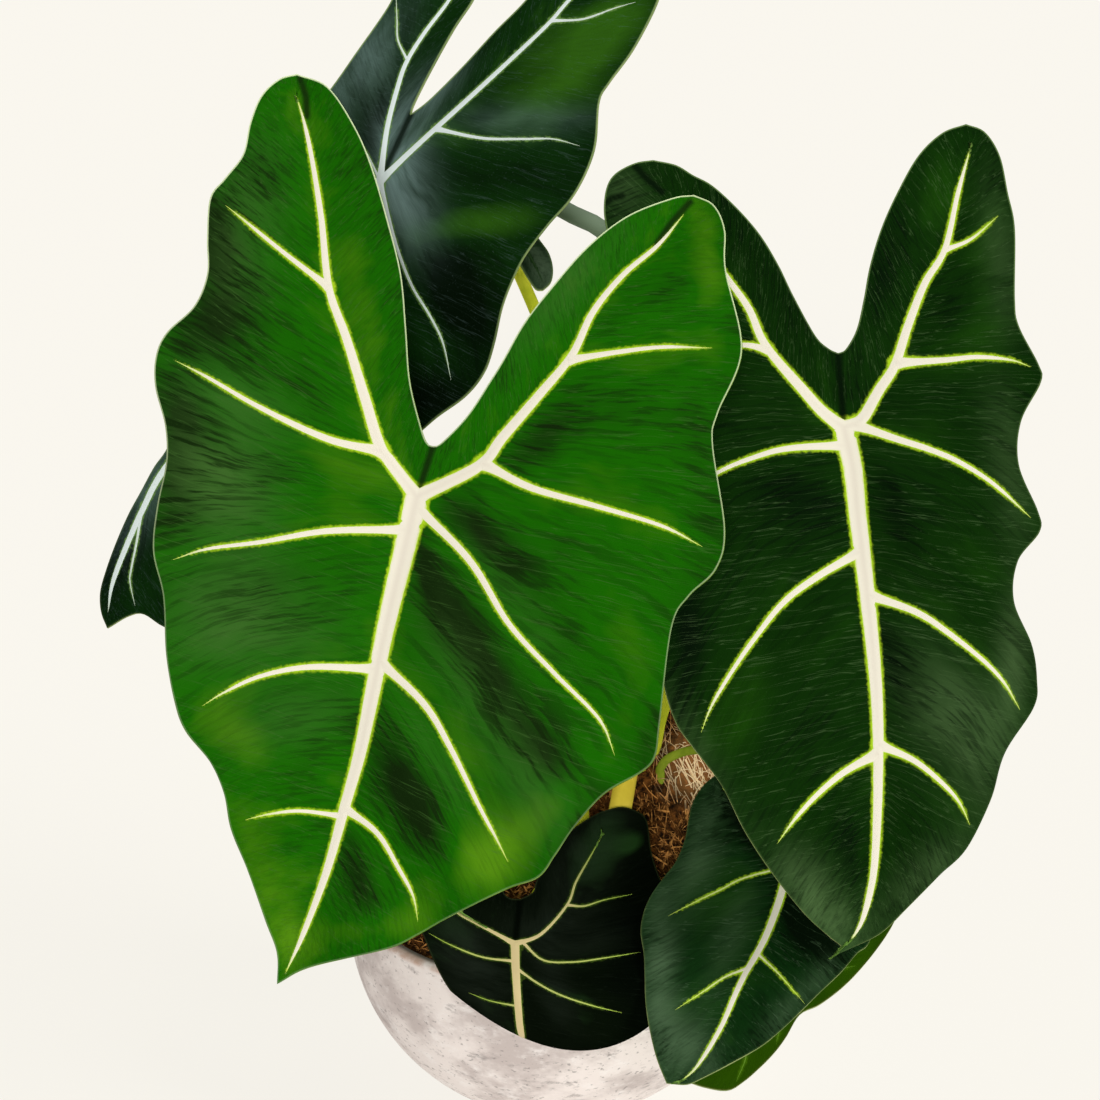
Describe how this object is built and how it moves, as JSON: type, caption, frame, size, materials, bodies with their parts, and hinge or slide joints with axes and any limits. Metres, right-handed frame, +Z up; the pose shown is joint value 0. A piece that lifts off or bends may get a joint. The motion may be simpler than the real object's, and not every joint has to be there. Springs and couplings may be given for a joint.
{
  "type": "potted alocasia plant",
  "caption": "Potted alocasia with large, velvety dark green leaves and broad white veins, in a round-bellied pot with a stone look.",
  "frame": {"origin": "centre of the pot's flat base, on the surface that it stands on", "axes": "+Z up; -Y is the front, where the low leaf hangs over the rim; +X to the right as seen from the front"},
  "size_m": [0.3823, 0.3392, 0.476],
  "materials": {
    "bright_leaf": "soft satin, bright green with cream veins",
    "dark_leaf": "velvety dark green with white and lime veins",
    "stone_wash": "matt, mottled whitish grey",
    "coir": "fibrous, matt"
  },
  "bodies": {
    "root": {"pot": "stone_wash", "root_ball": "coir", "leaf_front_left": "bright_leaf", "leaf_right": "dark_leaf", "leaf_rear_left": "dark_leaf", "leaf_front_low": "dark_leaf", "leaf_right_low": "dark_leaf", "leaf_right_under": "bright_leaf", "leaf_rear": "dark_leaf"}
  },
  "joints": []
}
